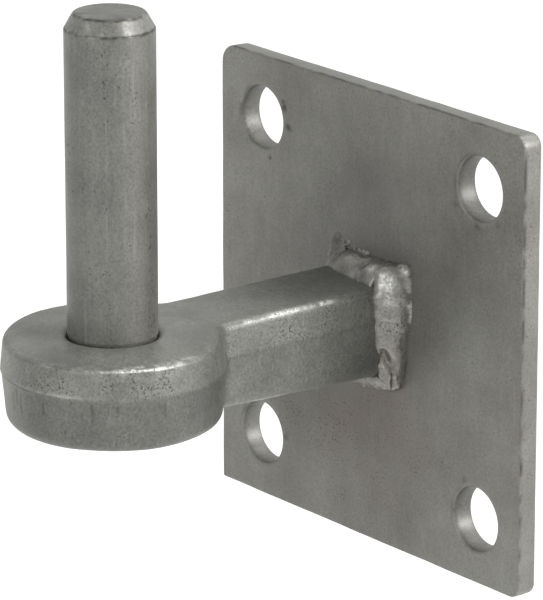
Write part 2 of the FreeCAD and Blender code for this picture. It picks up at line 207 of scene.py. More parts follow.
def softLine(points, start, end, width):
    # 1 along a straight line between two places, fading to 0 at a width
    a, b = np.array(start) * mm, np.array(end) * mm
    share = np.clip((points - a) @ (b - a) / ((b - a) @ (b - a)), 0.0, 1.0)
    away = np.linalg.norm(points - a - share[:, None] * (b - a), axis=1)
    return smoothStep(1.0 - away / (width * mm))


def keepSpots(mesh, name, base, spots):
    keepNumbers(mesh, name, base + softSpots(readPoints(mesh), spots))


def unevenness(points, scale, seed):
    # soft noise between -1 and 1 at each of some points in millimetres
    return np.array([noise.noise(Vector(point) * scale + Vector((seed, 0.0, 0.0))) for point in points])


def brokenUp(points, mean, *noises):
    # a mean and soft noises of (spread, scale, seed), kept between 0 and 1
    total = mean + sum(spread * unevenness(points, scale, seed) for spread, scale, seed in noises)
    return np.clip(total, 0.0, 1.0)


def turnFrom(across, along, front):
    # degrees round an upright axis, with 0 at the front
    return (np.degrees(np.arctan2(across, -along)) - front + 180.0) % 360.0 - 180.0


def markRelief(mesh, size, paintedGlints=()):
    # 1 on outer edges, painted bright as wear and painted highlight, and at the painted glints; 1 in the
    # hollows, painted dark as painted shade
    points = readPoints(mesh)
    raised = points - blurred(mesh, points, size["reliefRounds"])
    bulge = np.einsum("ij,ij->i", raised, readNormals(mesh)) / (size["reliefFull"] * mm)
    rubbedAndSheen = size["edgeWearAndSheen"] * bulge + softSpots(points, paintedGlints)
    keepNumbers(mesh, "wearAndSheen", np.clip(rubbedAndSheen, 0.0, 1.0))
    keepNumbers(mesh, "darkMarksAndShade", np.clip(-bulge, 0.0, 1.0))


def pressDents(mesh, dents, grooves):
    # sinks round dents, and grooves of (from, to, width, depth); a negative depth raises a lump
    points, normals = readPoints(mesh), readNormals(mesh)
    sink = softSpots(points, dents)
    for start, end, width, depth in grooves:
        sink += depth * softLine(points, start, end, width)
    writePoints(mesh, points - normals * (sink * mm)[:, None])


def finishPiece(piece, slotName, *nodes):
    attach(piece, "root")
    if nodes:
        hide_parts(*nodes)
    print("made", piece.name, "with", len(piece.data.polygons), "faces")


# Finishes: bare steel, written once and set apart by a dictionary for each slot

warmColour = (0.200, 0.164, 0.128)
plateLook = dict(
    dark=(0.143, 0.140, 0.127), light=(0.212, 0.211, 0.192), mottleScale=45.0, patchScale=120.0,
    patchStretch=1.0, grainScale=1700.0, grain=0.19, speckScale=1900.0, speckFrom=0.765, speck=0.75,
    speckColour=(0.045, 0.042, 0.037), cluster=0.25,
    scratchTurn=(0.0, 0.9, 0.0), scratchScale=(900.0, 120.0, 120.0), scratch=0.10,
    bright=(0.36, 0.36, 0.33), metallic=0.45, roughness=0.52, bump=0.14,
)
forgedLook = dict(
    dark=(0.128, 0.130, 0.117), light=(0.195, 0.198, 0.179), mottleScale=80.0, patchScale=160.0,
    patchStretch=1.0, grainScale=1700.0, grain=0.26, speckScale=2100.0, speckFrom=0.82, speck=0.8,
    speckColour=(0.035, 0.034, 0.031), cluster=0.35,
    scratchTurn=(0.0, 0.0, 0.0), scratchScale=(900.0, 900.0, 300.0), scratch=0.05,
    bright=(0.86, 0.87, 0.82), metallic=0.45, roughness=0.48, bump=0.24,
)
pinLook = dict(
    dark=(0.131, 0.132, 0.121), light=(0.209, 0.210, 0.192), mottleScale=60.0, patchScale=150.0,
    patchStretch=0.22, grainScale=1700.0, grain=0.22, speckScale=1500.0, speckFrom=0.89, speck=0.8,
    speckColour=(0.042, 0.039, 0.034), cluster=0.45,
    scratchTurn=(0.0, 0.0, 0.0), scratchScale=(900.0, 900.0, 60.0), scratch=0.12,
    bright=(0.50, 0.50, 0.46), metallic=0.5, roughness=0.45, bump=0.12,
)
weldLook = dict(
    dark=(0.145, 0.142, 0.128), light=(0.235, 0.232, 0.210), mottleScale=170.0, patchScale=200.0,
    patchStretch=1.0, grainScale=1700.0, grain=0.28, speckScale=1800.0, speckFrom=0.83, speck=0.85,
    speckColour=(0.035, 0.033, 0.029), cluster=0.4,
    scratchTurn=(0.0, 0.0, 0.0), scratchScale=(500.0, 500.0, 500.0), scratch=0.06,
    bright=(0.82, 0.82, 0.78), metallic=0.55, roughness=0.38, bump=0.28,
)
steelMarks = dict(
    # where in its noise a mark begins and is full
    mottle=(0.32, 0.68), grain=(0.3, 0.7), scratch=(0.60, 0.72), darkScratch=(0.40, 0.28),
    brown=(0.30, 0.62), wearAndSheenDots=(0.30, 0.58), wearAndSheenPatches=(0.36, 0.58),
    # how strongly a mark acts
    pittedShare=0.07, pitsOver=0.07, grainHeight=0.6, reliefDepth=0.3, roughnessSpread=0.06, polish=0.15,
)


def mixColour(tree, amount, under, over):
    # sockets 6 and 7 and output 2 are the ones for colours
    node = addNode(tree, "ShaderNodeMix", {0: amount, 6: under, 7: over}, data_type="RGBA")
    return node.outputs[2]


def opaque(colour):
    return (colour[0], colour[1], colour[2], 1.0)


def between(tree, value, low, high, toLow=0.0, toHigh=1.0):
    sockets = {"Value": value, "From Min": low, "From Max": high, "To Min": toLow, "To Max": toHigh}
    return addNode(tree, "ShaderNodeMapRange", sockets).outputs["Result"]


def noiseAt(tree, where, scale, detail, roughness=0.5):
    sockets = {"Vector": where, "Scale": scale, "Detail": detail, "Roughness": roughness}
    return addNode(tree, "ShaderNodeTexNoise", sockets).outputs["Fac"]


def marked(tree, name):
    return addNode(tree, "ShaderNodeAttribute", attribute_name=name).outputs["Fac"]


def steel(name, look):
    material = bpy.data.materials.new(name)
    material.use_nodes = True
    tree = material.node_tree
    tree.nodes.clear()
    where = addNode(tree, "ShaderNodeTexCoord").outputs["Object"]

    def within(value, mark, toLow=0.0, toHigh=1.0):
        return between(tree, value, *steelMarks[mark], toLow, toHigh)

    def times(a, b):
        return calc(tree, "MULTIPLY", a, b)

    def cover(under, amount, over):
        return mixColour(tree, amount, under, opaque(over))

    mottle = noiseAt(tree, where, look["mottleScale"], detail=6.0, roughness=0.62)
    colour = cover(opaque(look["dark"]), within(mottle, "mottle"), look["light"])

    grain = noiseAt(tree, where, look["grainScale"], detail=3.0, roughness=0.6)
    shade = within(grain, "grain", 1.0 - look["grain"], 1.0 + look["grain"])
    # brightness scaled by a painted factor: random tone together with painted light and shade where faces are
    # lit or shaded
    shade = times(shade, calc(tree, "ADD", marked(tree, "toneAndPaintedLight"), 1.0))
    colour = addNode(tree, "ShaderNodeVectorMath", {0: colour, "Scale": shade}, operation="SCALE").outputs[0]

    turned = addNode(tree, "ShaderNodeMapping", {
        "Vector": where, "Rotation": look["scratchTurn"], "Scale": look["scratchScale"]}).outputs[0]
    lines = noiseAt(tree, turned, scale=1.0, detail=2.0)
    colour = cover(colour, times(within(lines, "scratch"), look["scratch"]), look["bright"])
    colour = cover(colour, times(within(lines, "darkScratch"), look["scratch"]), look["speckColour"])

    drawnOut = addNode(tree, "ShaderNodeMapping", {
        "Vector": where, "Scale": (1.0, 1.0, look["patchStretch"])}).outputs[0]
    patches = noiseAt(tree, drawnOut, look["patchScale"], detail=3.0)
    colour = cover(colour, times(within(patches, "brown"), marked(tree, "warm")), warmColour)

    dots = noiseAt(tree, where, look["speckScale"], detail=3.0, roughness=0.6)
    pitted = times(marked(tree, "pitted"), steelMarks["pittedShare"])
    crowd = calc(tree, "ADD", times(patches, look["cluster"]), pitted)
    pitsTo = look["speckFrom"] + steelMarks["pitsOver"]
    pits = between(tree, calc(tree, "ADD", dots, crowd), look["speckFrom"], pitsTo)
    colour = cover(colour, times(pits, look["speck"]), look["speckColour"])

    # wear and painted highlights: bright rubbed metal on rims together with painted highlights, glints and a
    # painted floor reflection, broken up by noise
    patchy = times(within(dots, "wearAndSheenDots"), within(patches, "wearAndSheenPatches"))
    rubbedAndSheen = times(marked(tree, "wearAndSheen"), patchy)
    # dark lines, smudges and scores, together with painted shade in the creases of the welds
    colour = cover(colour, marked(tree, "darkMarksAndShade"), look["speckColour"])
    colour = cover(colour, rubbedAndSheen, look["bright"])

    height = calc(tree, "SUBTRACT", times(grain, steelMarks["grainHeight"]), pits)
    relief = addNode(tree, "ShaderNodeBump", {
        "Strength": look["bump"], "Distance": steelMarks["reliefDepth"] * mm, "Height": height})
    spread = steelMarks["roughnessSpread"]
    roughness = within(grain, "grain", look["roughness"] - spread, look["roughness"] + spread)
    roughness = calc(tree, "SUBTRACT", roughness, times(rubbedAndSheen, steelMarks["polish"]))
    shader = addNode(tree, "ShaderNodeBsdfPrincipled", {
        "Base Color": colour, "Metallic": look["metallic"], "Roughness": roughness,
        "Normal": relief.outputs["Normal"]})
    addNode(tree, "ShaderNodeOutputMaterial", {"Surface": shader.outputs["BSDF"]})
    return material


plateSteel = steel("plateSteel", plateLook)
forgedSteel = steel("forgedSteel", forgedLook)
pinSteel = steel("pinSteel", pinLook)
weldMetal = steel("weldMetal", weldLook)
print("four finishes ready")


# Back plate: sheared square with four punched holes, front at -thickness

backPlate = dict(
    half=50.8, thickness=4.8, corner=2.9, upperLeftCorner=4.4, shearedCorner=0.6, cornerSteps=9, step=1.0,
    holeAt=36.5, holeRadius=7.15, holeSteps=96,
    edgeSection=((0.42, 0.0), (0.2, 0.03), (0.07, 0.11), (0.0, 0.3), (0.0, 1.1), (0.0, 2.4), (0.06, 3.3),
                 (0.10, 4.3), (0.22, 4.68), (0.45, 4.8)),   # inset, depth
    holeSection=((0.70, 0.0), (0.34, 0.06), (0.08, 0.22), (-0.10, 0.5), (-0.24, 1.3), (-0.36, 2.5),
                 (-0.43, 3.5), (-0.46, 4.3), (-0.42, 4.68), (-0.25, 4.8)),
    edgeWave=0.22, holeWave=0.05, waveMean=0.5,
    waves=((0.11, 0.25, 7.0, 0.40), (0.7, 0.9, 3.0, 0.06)),   # scale round, scale through, seed, share
    gridStep=1.2, gridInset=1.6, fineFrom=1.3, fineReach=5.6, fineStep=0.7, fineClear=0.5, mouthSlack=0.08,
    fillKind=2, mergeWithin=1e-6,
    # tone, brown tint and pits of the front, the sides and the walls of the holes; the top and the sides are
    # painted darker as painted shade, the walls of the holes get painted shade with lighter and darker
    # patches round them, and the front is darker round the middle
    toneAndPaintedLight=0.34, sideShade=-0.10, topShade=-0.35, sideWarm=0.12, sidePitted=0.1, sideFrom=0.5, sideOver=0.4,
    wallShade=-0.30, wallReach=0.1,
    wallLightAndShade=((130.0, 55.0, -0.25), (208.0, 22.0, 0.18), (250.0, 45.0, -0.20)),   # turn, width, amount
    tonePatches=((0.0, -4.8, 0.0, 72.0, -0.48), (-30.0, -4.8, 10.0, 40.0, 0.08),
                 (34.0, -4.8, -14.0, 28.0, 0.10), (-10.0, -4.8, -25.0, 17.0, -0.11),
                 (4.0, -4.8, 32.0, 18.0, -0.06), (50.0, -4.8, 26.0, 20.0, 0.10),
                 (50.0, -4.8, -38.0, 20.0, 0.08)),
    warmPatches=((0.0, -4.8, -24.0, 34.0, 0.60), (14.0, -4.8, -16.0, 8.0, 0.10)),
    pittedPatches=((4.0, -4.8, -26.0, 34.0, 0.6), (-20.0, -4.8, -30.0, 26.0, 0.4)),
    # dark lines of (inset, width, dark) on the front, the one round the holes being painted shade on their
    # left rims, and smudges beside the holes
    frontDepth=0.5, edgeLine=(0.12, 0.24, 0.9), rimShadeLine=(0.45, 0.45, 0.7), rimTurn=(150.0, 75.0),
    lineGaps=(0.6, (1.6, 0.33, 5.0)),
    smudges=((-28.6, -4.8, 40.3, 1.2, 1.3), (-29.0, -4.8, 41.6, 0.9, 1.0), (-27.4, -4.8, 36.3, 1.1, 1.3),
             (-26.4, -4.8, 36.0, 0.8, 1.0), (-33.6, -4.8, 28.0, 0.9, 1.1), (36.0, -4.8, 28.3, 1.2, 0.6),
             (37.2, -4.8, 27.8, 0.9, 0.5), (42.6, -4.8, 30.0, 1.0, 0.4), (29.0, -4.8, 31.6, 1.2, 0.6),
             (-27.9, -4.8, -35.3, 1.0, 0.9), (32.9, -4.8, -28.6, 1.0, 0.7)),
)


def plateOutline(size):
    # points and outward directions round the square, with its corners rounded
    points, outward = [], []
    corners = ((1, 1, size["corner"]), (-1, 1, size["upperLeftCorner"]), (-1, -1, size["shearedCorner"]),
               (1, -1, size["corner"]))
    for turn, (sx, sz, radius) in enumerate(corners):
        centre = Vector((sx * (size["half"] - radius), sz * (size["half"] - radius)))
        for i in range(size["cornerSteps"] + 1):
            angle = math.radians(90 * turn + 90 * i / size["cornerSteps"])
            way = Vector((math.cos(angle), math.sin(angle)))
            points.append(centre + way * radius)
            outward.append(way)
        nx, nz, nextRadius = corners[(turn + 1) % 4]
        finish = Vector((nx * (size["half"] - nextRadius), nz * (size["half"] - nextRadius)))
        finish += way * nextRadius
        start = points[-1]
        count = int((finish - start).length / size["step"])
        for i in range(1, count):
            points.append(start.lerp(finish, i / count))
            outward.append(way)
    return points, outward


def makePlate(size):
    builder = bmesh.new()
    fronts, backs = [], []
    holes = [Vector((sx, sz)) * size["holeAt"] for sx in (-1, 1) for sz in (-1, 1)]

    def fromHoles(spot):
        return min((spot - hole).length for hole in holes)

    def ringWalls(points, outward, section, sign, wave):
        loops = []
        for inset, depth in section:
            loop = []
            y = (depth - size["thickness"]) * mm
            for point, way in zip(points, outward):
                ripple = size["waveMean"]
                for around, through, seed, share in size["waves"]:
                    spot = Vector((point.x * around, point.y * around, depth * through + seed))
                    ripple += share * noise.noise(spot)
                place = point - way * (inset + wave * ripple) * sign
                loop.append(builder.verts.new((place.x * mm, y, place.y * mm)))
            loops.append(loop)
        for upper, lower in zip(loops, loops[1:]):
            for i in range(len(points)):
                j = (i + 1) % len(points)
                quad = (upper[i], lower[i], lower[j], upper[j])
                builder.faces.new(quad if sign > 0 else quad[::-1])
        fronts.append(loops[0])
        backs.append(loops[-1])

    def spreadPoints(flat):
        # an even spread, with every second row shifted, and finer rings round the holes
        reach = size["half"] - size["gridInset"]
        count = int(2 * reach / size["gridStep"])
        for i in range(count + 1):
            for k in range(count + 1):
                shift = 0.5 if k % 2 else 0.0
                spot = Vector((-reach + (i + shift) * 2 * reach / (count + 0.5),
                               -reach + k * 2 * reach / count))
                if fromHoles(spot) > size["holeRadius"] + size["fineReach"] + size["fineClear"]:
                    flat.append(spot)
        for hole in holes:
            away = size["holeRadius"] + size["fineFrom"]
            while away < size["holeRadius"] + size["fineReach"]:
                count = int(2 * math.pi * away / size["fineStep"])
                shift = 0.5 * (len(flat) % 2)
                for i in range(count):
                    turn = 2 * math.pi * (i + shift) / count
                    flat.append(hole + Vector((math.cos(turn), math.sin(turn))) * away)
                away += size["fineStep"]

    def coverSide(loops, y, inset, flip):
        # fills the flat between the outline and the holes
        flat, edges, corners = [], [], []
        for loop in loops:
            start = len(flat)
            flat += [Vector((v.co.x / mm, v.co.z / mm)) for v in loop]
            corners += loop
            edges += [(start + i, start + (i + 1) % len(loop)) for i in range(len(loop))]
        spreadPoints(flat)
        spots, _, faces, origins, _, _ = geometry.delaunay_2d_cdt(
            flat, edges, [], size["fillKind"], size["mergeWithin"])
        verts = []
        for spot, origin in zip(spots, origins):
            known = [corners[o] for o in origin if o < len(corners)]
            verts.append(known[0] if known else builder.verts.new((spot.x * mm, y * mm, spot.y * mm)))
        mouth = size["holeRadius"] + inset + size["mouthSlack"]
        for face in faces:
            middle = sum((spots[i] for i in face), Vector((0.0, 0.0))) / len(face)
            if fromHoles(middle) < mouth:
                continue   # inside a hole
            ring = [verts[i] for i in face]
            builder.faces.new(ring[::-1] if flip else ring)

    points, outward = plateOutline(size)
    ringWalls(points, outward, size["edgeSection"], 1, size["edgeWave"])
    angles = [2 * math.pi * i / size["holeSteps"] for i in range(size["holeSteps"])]
    ways = [Vector((math.cos(a), math.sin(a))) for a in angles]
    for hole in holes:
        rim = [hole + way * size["holeRadius"] for way in ways]
        ringWalls(rim, ways, size["holeSection"], -1, size["holeWave"])
    coverSide(fronts, -size["thickness"], size["holeSection"][0][0], False)
    coverSide(backs, 0.0, size["holeSection"][-1][0], True)

    mesh = bpy.data.meshes.new("backPlate")
    bmesh.ops.recalc_face_normals(builder, faces=builder.faces)
    builder.to_mesh(mesh)
    builder.free()
    mesh.polygons.foreach_set("use_smooth", [True] * len(mesh.polygons))
    mesh.materials.append(plateSteel)
    return mesh


def markPlate(mesh, size):
    points = readPoints(mesh) / mm
    x, y, z = points.T
    side = ramp(np.abs(x), size["half"] - size["sideFrom"], size["sideOver"])
    top = ramp(z, size["half"] - size["sideFrom"], size["sideOver"])
    across = x - np.where(x < 0.0, -1.0, 1.0) * size["holeAt"]
    upward = z - np.where(z < 0.0, -1.0, 1.0) * size["holeAt"]
    fromHole = np.hypot(across, upward)
    turn = np.degrees(np.arctan2(upward, across)) % 360.0
    inHole = fromHole < size["holeRadius"] + size["wallReach"]
    # painted shade on the walls of the holes with painted lighter and darker patches round them, and painted
    # shade on the top and the sides
    patches = sum(amount * hump(turn, middle, width) for middle, width, amount in size["wallLightAndShade"])
    wallShading = inHole * (size["wallShade"] + patches)
    sideAndTopShade = size["sideShade"] * side + size["topShade"] * top
    keepSpots(mesh, "toneAndPaintedLight", size["toneAndPaintedLight"] + sideAndTopShade + wallShading, size["tonePatches"])
    keepSpots(mesh, "warm", size["sideWarm"] * side, size["warmPatches"])
    keepSpots(mesh, "pitted", size["sidePitted"] * side, size["pittedPatches"])
    front = y < size["frontDepth"] - size["thickness"]
    inset, width, dark = size["edgeLine"]
    line = dark * hump(size["half"] - np.maximum(np.abs(x), np.abs(z)), inset, width)
    # painted shade along the left rim of each hole
    inset, width, dark = size["rimShadeLine"]
    line += dark * hump(fromHole - size["holeRadius"], inset, width) * hump(turn, *size["rimTurn"])
    line = np.clip(line, 0.0, 1.0) * brokenUp(points, *size["lineGaps"])
    smudged = softSpots(points * mm, size["smudges"])
    keepNumbers(mesh, "darkMarksAndShade", np.clip(line + smudged, 0.0, 1.0) * front)


plate = newPiece("backPlate", makePlate(backPlate))
markPlate(plate.data, backPlate)
finishPiece(plate, "plate_steel", "back_plate")


# Forged arm and eye: the CAD shape, made dense, then given a forging's skin

forgedEyeArm = dict(
    mergeWithin=1e-6, voxel=0.42, settle=3, eye=(0.0, -73.0), front=51.6,
    partingAt=2.3, dieShift=0.3, shiftOver=0.5, shiftOutside=12.0,
    broadScale=95.0, broadHeight=0.30, fineScale=480.0, fineHeight=0.07, seed=4.0,
    # the eye's top falls away on its near side, to a crisp shoulder
    crownFrom=12.0, crownTo=21.2, shoulder=8.15, crownDrop=0.55,
    crownFacing=(-0.1, 0.7), crownEnd=(50.0, 10.0),
    # where the marks lie, by a start and a length or by a middle and a width
    boreClear=(13.5, 1.0), wallLean=(-0.45, 0.15), eyeFrom=(50.0, 4.0), armFrom=(-48.0, 3.0), lowerOver=0.4,
    rimLean=(0.62, 0.33), rimAbove=5.0, rimTurn=(6.0, 56.0),
    rimGaps=(0.75, (1.4, 0.16, 11.0), (1.0, 0.7, 6.0)),
    bandReach=(21.9, 1.5), bandAbove=6.3, bandTurn=(10.0, 62.0),
    bandGaps=(0.35, (1.5, 0.35, 21.0), (1.1, 1.1, 16.0)),
    armRimFrom=(13.0, 14.0), underLean=(-0.86, 0.09), underRimFrom=(24.0, 8.0),
    ridgeLine=(0.5, 0.6), ridgeTurn=(-30.0, 36.0), partingLine=(-0.1, 0.5), partingTurn=(20.0, 35.0),
    scores=((-62.5, 0.5, -3.6), (-58.0, 1.4, -2.0), (-54.0, 1.0, -3.2), (-37.0, 0.4, -2.2), (-9.0, 1.8, -2.4),
            (4.0, 1.2, -0.6), (29.0, 1.0, -2.0), (-24.0, -4.6, -5.6)),   # turn, height from, to
    scoreWidth=1.3, scoreWander=0.5, scoreScale=0.4,
    # how strong the marks are
    eyeWearAndSheen=1.3, bandWearAndSheen=0.8, underWearAndSheen=0.8, ridgeWearAndSheen=0.35, scoreDark=0.55,
    partingDark=0.25, partingEyeDark=0.65, partingLeast=0.4,
    # tone above and below the parting: lighter walls above it, and painted shade below it on the eye
    upperTone=0.12, lowerTone=0.08, lowerEyeShade=-0.22, upperPitted=0.6,
    # painted light and shade patches, such as the arm's top darkened towards the plate and the ring's left
    # side lightened
    tonePatches=((-10.5, -86.0, 9.8, 8.0, -0.24), (13.0, -83.0, 9.8, 9.0, 0.38),
                 (10.5, -60.0, 9.8, 8.0, -0.10), (-8.0, -94.6, 3.0, 13.0, 0.62),
                 (21.7, -64.4, 3.0, 12.0, -0.20), (0.0, -25.0, 9.8, 22.0, -0.27),
                 (3.0, -12.0, 9.8, 9.0, -0.04), (11.0, -16.0, 2.0, 9.0, 0.16),
                 (6.0, -83.5, 9.8, 8.0, 0.24)),
    pittedPatches=((9.7, -94.3, 7.0, 3.6, 1.0), (18.6, -87.2, 6.3, 4.2, 1.1), (23.2, -76.0, 5.0, 3.6, 0.7),
                   (11.0, -24.0, 6.0, 14.0, 0.4)),
)


def makeForging(size):
    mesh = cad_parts["eye_arm"].data.copy()
    builder = bmesh.new()
    builder.from_mesh(mesh)
    bmesh.ops.remove_doubles(builder, verts=builder.verts, dist=size["mergeWithin"])
    builder.to_mesh(mesh)
    builder.free()
    piece = newPiece("forgedEyeArm", mesh)
    remesh = piece.modifiers.new("even skin", "REMESH")
    remesh.mode = "VOXEL"
    remesh.voxel_size = size["voxel"] * mm
    keepResult(piece, remesh)

    mesh = piece.data
    writePoints(mesh, settleForging(blurred(mesh, readPoints(mesh), size["settle"]) / mm, size) * mm)
    wearAndSheen, darkMarksAndShade, toneAndPaintedLight, pitted = forgingMarks(mesh, size)

    tree, sizes = newTree("forgedSkin", (("Seed", "Float"),))
    endTree(tree, sizes["Geometry"], sizes)
    growTree(piece, tree, {"Seed": size["seed"], **skinValues(size, forgedSteel)})
    keepNumbers(piece.data, "wearAndSheen", wearAndSheen)
    keepNumbers(piece.data, "darkMarksAndShade", darkMarksAndShade)
    keepSpots(piece.data, "toneAndPaintedLight", toneAndPaintedLight, size["tonePatches"])
    keepSpots(piece.data, "pitted", pitted, size["pittedPatches"])
    return piece


def settleForging(points, size):
    # sets the lower die half a little aside, and lets the eye's top fall away on its near side
    x, y, z = points.T
    across, along = x - size["eye"][0], y - size["eye"][1]
    outside = np.hypot(across, along) > size["shiftOutside"]
    shift = size["dieShift"] * ramp(-z, -size["partingAt"], size["shiftOver"]) * outside
    y, along = y + shift, along + shift
    fromPin = np.hypot(across, along)
    slope = np.clip((fromPin - size["crownFrom"]) / (size["crownTo"] - size["crownFrom"]), 0.0, 1.0) ** 2
    ahead = math.radians(size["front"])
    facing = (across * math.sin(ahead) - along * math.cos(ahead)) / fromPin
    slope *= ramp(facing, *size["crownFacing"]) * ramp(-y, *size["crownEnd"])
    above = np.maximum(z - size["shoulder"], 0.0)
    return np.column_stack((x, y, z - above * size["crownDrop"] * slope))


def forgingMarks(mesh, size):
    # bright rims painted as wear and painted highlight, a painted bright line under the arm, the dark parting
    # step, scores, and the tone above and below the parting, painted darker below it on the eye
    points, normals = readPoints(mesh) / mm, readNormals(mesh)
    x, y, z = points.T
    lean = normals[:, 2]
    across, along = x - size["eye"][0], y - size["eye"][1]
    turn = turnFrom(across, along, size["front"])
    fromPin = np.hypot(across, along)
    outside = ramp(fromPin, *size["boreClear"])
    wall = ramp(-np.abs(lean), *size["wallLean"]) * outside
    onEye = ramp(-y, *size["eyeFrom"])
    onArm = ramp(y, *size["armFrom"])
    fromParting = z - size["partingAt"]
    below = ramp(-fromParting, 0.0, size["lowerOver"]) * outside
    broken = brokenUp(points, *size["rimGaps"])

    rim = hump(lean, *size["rimLean"]) * (z > size["rimAbove"]) * outside * broken
    eyeRim = rim * onEye * np.sqrt(hump(turn, *size["rimTurn"]))
    band = hump(fromPin, *size["bandReach"]) * (z > size["bandAbove"]) * onEye
    band *= np.sqrt(hump(turn, *size["bandTurn"])) * brokenUp(points, *size["bandGaps"])
    armRim = rim * onArm * ramp(-y, *size["armRimFrom"])
    underRim = hump(lean, *size["underLean"]) * outside * (x > 0.0) * onArm * ramp(-y, *size["underRimFrom"])
    ridge = hump(fromParting, *size["ridgeLine"]) * wall * onEye * hump(turn, *size["ridgeTurn"]) * broken
    wearAndSheen = size["eyeWearAndSheen"] * eyeRim + size["bandWearAndSheen"] * band + armRim
    wearAndSheen += size["underWearAndSheen"] * underRim + size["ridgeWearAndSheen"] * ridge

    depth = size["partingDark"] + size["partingEyeDark"] * onEye * ramp(-turn, *size["partingTurn"])
    gaps = size["partingLeast"] + (1.0 - size["partingLeast"]) * broken
    dark = hump(fromParting, *size["partingLine"]) * wall * depth * gaps
    for middle, top, low in size["scores"]:
        wander = size["scoreWander"] * unevenness(points, size["scoreScale"], middle)
        score = hump(turn + wander, middle, size["scoreWidth"]) * (z < top) * (z > low)
        dark += size["scoreDark"] * wall * onEye * score

    upper = wall * (1.0 - below)
    toneAndPaintedLight = size["upperTone"] * upper + below * (size["lowerTone"] + size["lowerEyeShade"] * onEye)
    return np.clip(wearAndSheen, 0.0, 1.0), np.clip(dark, 0.0, 1.0), toneAndPaintedLight, size["upperPitted"] * upper


forging = makeForging(forgedEyeArm)
finishPiece(forging, "forged_steel", "eye_arm")


# Hinge pin: a turned bar swept along its axis, with soft dents from handling

hingePinBar = dict(
    at=(0.0, -73.0), around=144, step=1.2, seed=9.0, front=51.6,
    broadScale=70.0, broadHeight=0.10, fineScale=420.0, fineHeight=0.03,
    # the bar's outline: height, radius
    section=((-9.5, 9.0), (-9.3, 9.25), (9.2, 9.25), (9.75, 9.46), (10.1, 9.46), (74.3, 9.46),
             (74.5, 9.455), (74.63, 9.445), (74.75, 9.42), (74.87, 9.37), (74.98, 9.3), (75.12, 9.22),
             (75.3, 9.12), (77.3, 8.0), (77.5, 7.87), (77.64, 7.78), (77.75, 7.7), (77.86, 7.6),
             (77.95, 7.5), (78.04, 7.36), (78.12, 7.1), (78.17, 6.2), (78.2, 3.5), (78.22, 0.4)),
    # the chamfer is painted lighter and the top painted darker, as painted light and shade
    chamferFrom=74.9, chamferTo=77.9, chamferOver=0.3, chamferLight=0.16,
    topFrom=78.0, topOver=0.1, topShade=-0.10,
    # dark lines at both edges of the chamfer: height, width, seed of the wave, seed of the gaps
    edges=((74.85, 0.58, 3.0, 23.0), (77.93, 0.42, 8.0, 28.0)),
    edgeWave=0.16, waveScale=0.55, edgeGaps=(0.7, 1.9, 0.6),
    # upright bands: turn from the front, width, amount; the bands on the chamfer are painted glints, and the
    # bands of tone are painted light and shade round the bar
    worn=((-32.0, 11.0, 0.9), (27.0, 12.0, 1.0), (70.0, 10.0, 0.5)),
    pitted=((-62.0, 30.0, 1.3), (-4.0, 9.0, 1.2), (56.0, 13.0, 1.1)),
    litAndShadedBands=((-5.0, 34.0, -0.10), (78.0, 26.0, 0.22), (-70.0, 30.0, 0.05)),
    warmed=((62.0, 50.0, 0.22),),
    streaks=(0.7, (1.5, 0.5, 40.0)), streakStretch=(1.0, 1.0, 0.4), pittedRing=(71.5, 5.0, 0.5),
)


def makePin(size):
    x, y = size["at"]
    run = []
    for (low, lowRadius), (high, highRadius) in zip(size["section"], size["section"][1:]):
        count = max(1, int((high - low) / size["step"]))
        for i in range(count):
            share = i / count
            run.append((x, y, low + (high - low) * share, lowRadius + (highRadius - lowRadius) * share))
    run.append((x, y) + size["section"][-1])
    piece = newPiece("hingePinBar", pathMesh("hingePinBar", [dict(points=run)]))

    tree, sizes = newTree("turnedBar", (("Around", "Int"), ("Seed", "Float")))
    reach = addNode(tree, "GeometryNodeInputNamedAttribute", {"Name": "reach"}, data_type="FLOAT")
    axis = addNode(tree, "GeometryNodeMeshToCurve", {"Mesh": sizes["Geometry"]})
    ring = addNode(tree, "GeometryNodeCurvePrimitiveCircle", {"Resolution": sizes["Around"], "Radius": 1.0})
    bar = addNode(tree, "GeometryNodeCurveToMesh", {
        "Curve": axis.outputs[0], "Profile Curve": ring.outputs[0], "Scale": reach.outputs[0],
        "Fill Caps": True})
    endTree(tree, bar.outputs[0], sizes)
    growTree(piece, tree, {"Around": size["around"], "Seed": size["seed"], **skinValues(size, pinSteel)})
    return piece


def markPin(mesh, size):
    points = readPoints(mesh) / mm
    turn = turnFrom(points[:, 0] - size["at"][0], points[:, 1] - size["at"][1], size["front"])
    height = points[:, 2]
    chamfer = ramp(height, size["chamferFrom"], size["chamferOver"])
    chamfer *= ramp(-height, -size["chamferTo"], size["chamferOver"])
    onTop = ramp(height, size["topFrom"], size["topOver"])

    def roundThePin(bands):
        return sum(amount * hump(turn, middle, width) for middle, width, amount in bands)

    dark = np.zeros(len(points))
    mean, spread, scale = size["edgeGaps"]
    for level, width, waveSeed, gapSeed in size["edges"]:
        wave = size["edgeWave"] * unevenness(points, size["waveScale"], waveSeed)
        dark += brokenUp(points, mean, (spread, scale, gapSeed)) * hump(height, level + wave, width)
    streaks = brokenUp(points * size["streakStretch"], *size["streaks"])
    level, width, amount = size["pittedRing"]
    # painted light on the chamfer and painted shade on the top
    ends = size["chamferLight"] * chamfer + size["topShade"] * onTop
    keepNumbers(mesh, "darkMarksAndShade", np.clip(dark, 0.0, 1.0))
    # painted glints in upright streaks on the chamfer
    keepNumbers(mesh, "wearAndSheen", np.clip(chamfer * roundThePin(size["worn"]) * streaks, 0.0, 1.0))
    keepNumbers(mesh, "pitted", roundThePin(size["pitted"]) + amount * hump(height, level, width))
    keepNumbers(mesh, "warm", roundThePin(size["warmed"]))
    # painted light and shade in upright bands round the bar
    keepNumbers(mesh, "toneAndPaintedLight", roundThePin(size["litAndShadedBands"]) * (1.0 - onTop) + ends)


